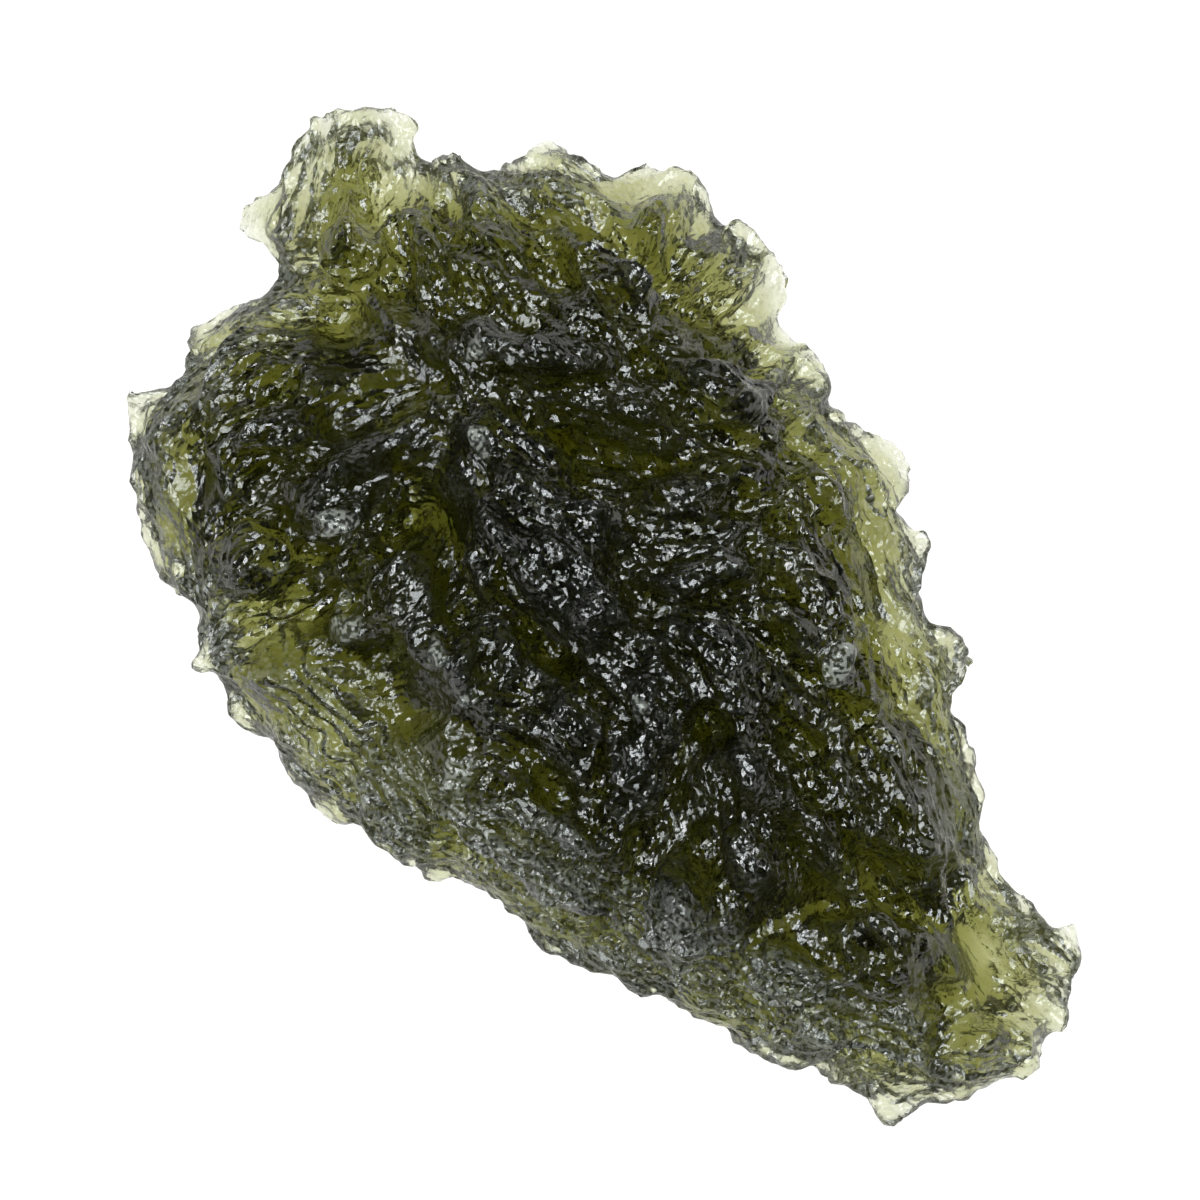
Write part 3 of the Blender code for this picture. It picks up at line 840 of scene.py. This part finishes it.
        # The map has empty cells all round
        low = skin.points[:, :2].min(axis=0) - 2 * self.cell
        cells = ((skin.points[:, :2] - low) / self.cell).astype(int)
        shape = cells.max(axis=0) + 3
        filled = np.zeros(shape, bool)
        filled[cells[:, 0], cells[:, 1]] = True
        edge = ~filled & (np.roll(filled, 1, 0) | np.roll(filled, -1, 0)
                          | np.roll(filled, 1, 1) | np.roll(filled, -1, 1))
        rim = KDTree(int(edge.sum()))
        for i, (x, y) in enumerate(np.argwhere(edge)):
            rim.insert((x, y, 0.0), i)
        rim.balance()
        table = np.zeros(shape)
        for x, y in np.argwhere(filled):
            table[x, y] = rim.find((x, y, 0.0))[2] * self.cell
        return skin.softened(table[cells[:, 0], cells[:, 1]], 3)

    def _grain(self, points: np.ndarray) -> np.ndarray:
        """The way that the flutes run at each point, blended from the hints.

        Args:
            points: Where to read it.

        Returns:
            Level unit vectors. A flute has no front, so the blend is made on doubled angles.
        """
        hints = np.array(GRAIN)
        doubled = np.radians(hints[:, 2]) * 2.0
        away = np.linalg.norm(points[:, None, :2] - hints[None, :, :2], axis=2)
        weight = 1.0 / (away ** 3 + self.hint_core)
        angle = np.arctan2(weight @ np.sin(doubled), weight @ np.cos(doubled)) / 2.0
        return np.stack([np.cos(angle), np.sin(angle), np.zeros(len(points))], axis=1)

    def _downhill(self, directions: np.ndarray, normals: np.ndarray) -> np.ndarray:
        """Directions laid into the skin.

        Args:
            directions: Unit vectors.
            normals: The way that the skin faces there.

        Returns:
            Unit vectors in the skin, the downhill way round.
        """
        laid = unit(directions - np.sum(directions * normals, axis=1)[:, None] * normals, 1e-9)
        return np.where(laid[:, 2:] > 0.0, -laid, laid)

    def _scattered(self, skin: Skin, tree: KDTree, spacing: float,
                   rng: np.random.Generator) -> np.ndarray:
        """Picks points at random with no two closer than the spacing.

        Args:
            skin: The skin.
            tree: The lookup of its points.
            spacing: The least distance.
            rng: Gives the order.

        Returns:
            The picked points' numbers.
        """
        free = [True] * len(skin.points)
        picked = []
        for i in rng.permutation(len(skin.points)):
            if free[i]:
                picked.append(i)
                for _, found, _ in tree.find_range(skin.points[i], spacing):
                    free[found] = False
        return np.array(picked)

    def _pitted(self, skin: Skin, normals: np.ndarray, pits: Pits,
                rng: np.random.Generator) -> np.ndarray:
        """Relief of pits that meet in sharp edges, with a steep end and a gentle one.

        Args:
            skin: The skin.
            normals: The way that it faces.
            pits: The pits' sizes.
            rng: Gives their places and sizes.

        Returns:
            How far each point moves out, 0 on the average.
        """
        tree = skin.tree()
        sites = self._scattered(skin, tree, pits.spacing, rng)
        along = self._downhill(self._grain(skin.points[sites]), normals[sites])
        scale = rng.uniform(pits.smallest, pits.largest, len(sites))
        lowest = np.ones(len(skin.points))
        for site, way, size in zip(skin.points[sites], along, scale):
            near = np.array([found for _, found, _ in tree.find_range(site, pits.behind * size)])
            offset = skin.points[near] - site
            ahead = offset @ way
            sideways = np.sum(offset * offset, axis=1) - ahead ** 2
            bowl = (ahead / np.where(ahead > 0.0, pits.ahead, pits.behind)) ** 2
            bowl = (bowl + sideways / pits.wide ** 2) / size ** 2
            lowest[near] = np.minimum(lowest[near], bowl)
        return pits.deep * (lowest - lowest.mean())

    def _carved(self, skin: Skin) -> tuple[Skin, Ground]:
        """Carves the skin, and notes what kind of skin lies where.

        Args:
            skin: The body's skin.

        Returns:
            The carved skin and its ground.
        """
        rng = np.random.default_rng(self.seed)
        reach = self._reach(skin)
        normals = skin.normals(self.facing_rounds)
        calm = np.zeros(len(skin.points))
        for window in WINDOWS:
            calm = np.maximum(calm, 1.0 - smooth_step(*self.window_edge, in_oval(skin.points, *window)))
        calm *= smooth_step(*self.window_reach, reach)
        velvet = self.flank.share(skin.points, normals) * smooth_step(*self.flank_reach, reach)
        share = 1.0 - self.flank_loss * velvet
        share *= self.rim_relief + self.inner_relief * smooth_step(*self.relief_reach, reach)
        on_top = 1.0 - smooth_step(*self.underneath, -normals[:, 2])
        share *= self.hidden_pits + (1.0 - self.hidden_pits) * on_top
        large = share * (1.0 - (1.0 - self.calm_ledges) * calm)
        small = np.maximum(share, on_top) * (1.0 - (1.0 - self.calm_pits) * calm)
        relief = large * self._pitted(skin, normals, self.ledges, rng)
        relief += large * self._pitted(skin, normals, self.scales, rng)
        relief += calm * self.ripples.relief(skin.points) + velvet * self.flank.relief(skin.points)
        crumbs = self.lumps.relief(skin.points, normals)
        relief += crumbs
        skin = Skin(skin.points + normals * relief[:, None], skin.faces)
        normals = skin.normals(self.carved_rounds)
        fine = self._pitted(skin, normals, self.pits, rng)
        fine += self._pitted(skin, normals, self.specks, rng)
        skin.points += normals * (small * fine)[:, None]
        self.nicks.cut(skin, normals, reach)
        skin.points = skin.softened(skin.points, 1, self.last_share)
        thin = 1.0 - smooth_step(*self.thin_reach, reach)
        return skin, Ground(calm, velvet, smooth_step(*self.crumb_height, crumbs), thin)

    def _crests(self, skin: Skin) -> np.ndarray:
        """1 on crests and lumps that stand out of the skin, 0 in hollows.

        Args:
            skin: The skin.

        Returns:
            A share for each point.
        """
        evened = skin.softened(skin.points, self.crest_rounds)
        bulge = np.sum((skin.points - evened) * skin.normals(2), axis=1)
        start = self.crest_start * self.crest_height
        return skin.softened(smooth_step(start, self.crest_height, bulge), 1)

    def _roughness(self, skin: Skin, ground: Ground) -> np.ndarray:
        """How rough the glass is.

        Args:
            skin: The finished skin.
            ground: What kind of skin lies where.

        Returns:
            The roughness at each point.
        """
        under = smooth_step(*self.underneath, -skin.normals(self.carved_rounds)[:, 2])
        rough = np.full(len(skin.points), self.rough)
        for share, value in ((ground.calm, self.rough_window), (ground.velvet, self.rough_flank),
                             (ground.thin, self.rough_rim), (under, self.rough_under)):
            rough = np.maximum(rough, self.rough + (value - self.rough) * share)
        return rough

    def _frost_and_sheen(self, skin: Skin, ground: Ground) -> np.ndarray:
        """How far the skin is turned to a pale matt: worn on crumbs, crests and the rim, and a painted
        sheen on the flank's folds.

        Args:
            skin: The finished skin.
            ground: What kind of skin lies where.

        Returns:
            The share of pale matt at each point.
        """
        crests = self._crests(skin)
        base, added = self.crumb_frost
        frost_and_sheen = np.maximum(ground.crumbs * (base + added * crests), self.crest_frost * crests)
        # Painted sheen on the flank's folds, strongest on their crests
        base, added = self.flank_sheen_share
        frost_and_sheen = np.maximum(frost_and_sheen, self.painted_flank_sheen * ground.velvet * (base + added * crests))
        return np.maximum(frost_and_sheen, self.rim_frost * ground.thin ** 2)

    def _object(self, skin: Skin, ground: Ground, solid: Skin) -> bpy.types.Object:
        """Makes the object, with its traits and its glass.

        Args:
            skin: The finished skin, in the drawing.
            ground: What kind of skin lies where.
            solid: The solid's own skin, whose box the stone keeps to.

        Returns:
            The object.
        """
        corners = self.drawing.to_frame(solid.points)
        points = np.clip(self.drawing.to_frame(skin.points), corners.min(axis=0), corners.max(axis=0))
        data = Skin(points, skin.faces).mesh(self.node)
        # The tiny flat faces give the skin its glints
        data.shade_flat()
        for trait, values in ((Trait.ROUGH, self._roughness(skin, ground)),
                              (Trait.FROST_AND_SHEEN, self._frost_and_sheen(skin, ground))):
            data.attributes.new(trait.value, "FLOAT", "POINT").data.foreach_set("value", values)
        data.materials.append(self.glass.material())
        stone = bpy.data.objects.new("moldavite_stone", data)
        bpy.context.scene.collection.objects.link(stone)
        return stone


@dataclass(frozen=True)
class Softbox:
    """A large soft light: where it stands, as seen from the stone, its size and its strength."""

    name: str
    heading: float  # degrees in the drawing
    elevation: float  # degrees above the floor
    size: float  # metres across
    power: float  # watts
    colour: tuple[float, float, float] = (0.92, 0.98, 1.0)
    distance: float = 0.42  # metres

    def build(self, drawing: Drawing) -> bpy.types.Object:
        """Makes the light.

        Args:
            drawing: Turns headings of the drawing onto the frame.

        Returns:
            The light, which points at the stone.
        """
        data = bpy.data.lights.new(self.name, "AREA")
        data.shape = "DISK"
        data.size = self.size
        data.energy = self.power
        data.color = self.colour
        light = bpy.data.objects.new(self.name, data)
        heading = math.radians(self.heading) + drawing.dip
        elevation = math.radians(self.elevation)
        away = Vector((math.cos(heading) * math.cos(elevation),
                       math.sin(heading) * math.cos(elevation), math.sin(elevation)))
        light.location = away * self.distance
        light.rotation_euler = away.to_track_quat("Z", "Y").to_euler()
        bpy.context.scene.collection.objects.link(light)
        return light


@dataclass
class Studio:
    """The floor, the light around the stone and the camera above it."""

    drawing: Drawing = field(default_factory=Drawing)
    floor: GlowingFloor = field(default_factory=GlowingFloor)
    floor_size: float = 6.0  # metres
    floor_gap: float = 0.00002  # metres between the floor and the stone
    horizon: tuple[float, float, float] = (0.02, 0.02, 0.02)
    zenith: tuple[float, float, float] = (0.006, 0.006, 0.007)
    sky_turn: tuple[float, float] = (0.1, 0.6)  # height, of 1, from where to where one turns to the other
    softboxes: tuple[Softbox, ...] = (
        Softbox("upper left softbox", 125, 54, 0.22, 1.25),
        Softbox("lower left softbox", 230, 42, 0.22, 1.0),
        Softbox("right softbox", -20, 46, 0.18, 1.0),
        Softbox("upper right lamp", 55, 52, 0.16, 0.95),
        Softbox("left lamp", 178, 48, 0.13, 0.75, (0.95, 0.98, 1.0)),
    )
    view_width: float = 36.0  # millimetres across the picture, at the height of the rim
    rim_height: float = 4.1
    lens: float = 300.0  # millimetres, on a sensor 36 mm wide
    sensor: float = 36.0
    seen_from: float = 0.01  # metres from the camera to what it starts to see

    def build(self) -> None:
        """Makes the floor, the lights, the sky and the camera."""
        self._floor()
        for softbox in self.softboxes:
            softbox.build(self.drawing)
        self._sky()
        self._camera()
        bpy.context.scene.view_settings.view_transform = "Standard"

    def _floor(self) -> None:
        """Lays the floor."""
        half = self.floor_size / 2
        data = bpy.data.meshes.new("floor")
        corners = [(x * half, y * half, -self.floor_gap) for x, y in ((-1, -1), (1, -1), (1, 1), (-1, 1))]
        data.from_pydata(corners, [], [(0, 1, 2, 3)])
        data.materials.append(self.floor.material())
        floor = bpy.data.objects.new("floor", data)
        bpy.context.scene.collection.objects.link(floor)

    def _sky(self) -> None:
        """Surrounds the stone with a dim room that is darker still overhead."""
        world = bpy.data.worlds.new("dim room")
        world.use_nodes = True
        world.cycles.sampling_method = "NONE"
        bpy.context.scene.world = world
        bench = Bench(world.node_tree)
        way = bench.node("ShaderNodeTexCoord").outputs["Generated"]
        up = bench.node("ShaderNodeSeparateXYZ", None, {0: way}).outputs["Z"]
        starts, ends = self.sky_turn
        overhead = bench.signal("ShaderNodeMapRange", {"interpolation_type": "SMOOTHSTEP"}, {
            "Value": up, "From Min": starts, "From Max": ends,
        })
        colour = bench.blend(overhead, (*self.horizon, 1.0), (*self.zenith, 1.0))
        room = bench.node("ShaderNodeBackground", None, {"Color": colour, "Strength": 1.0})
        bench.node("ShaderNodeOutputWorld", None, {"Surface": room.outputs[0]})

    def _camera(self) -> None:
        """Hangs the camera over the middle of the drawing."""
        data = bpy.data.cameras.new("camera")
        data.sensor_width = self.sensor
        data.lens = self.lens
        data.clip_start = self.seen_from
        camera = bpy.data.objects.new("camera", data)
        away = self.view_width * self.lens / self.sensor
        camera.location = self.drawing.point(0.0, 0.0, self.rim_height + away)
        camera.rotation_euler = (0.0, 0.0, self.drawing.dip)
        bpy.context.scene.collection.objects.link(camera)
        bpy.context.scene.camera = camera


def main() -> None:
    """Builds the stone and its studio, and notes each in the log."""
    logging.basicConfig(level=logging.INFO, format="%(name)s: %(message)s")
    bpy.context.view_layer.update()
    stone = Moldavite().build()
    log.info("made %s", stone.name)
    Studio().build()
    log.info("made the studio")


if __name__ == "__main__":
    main()
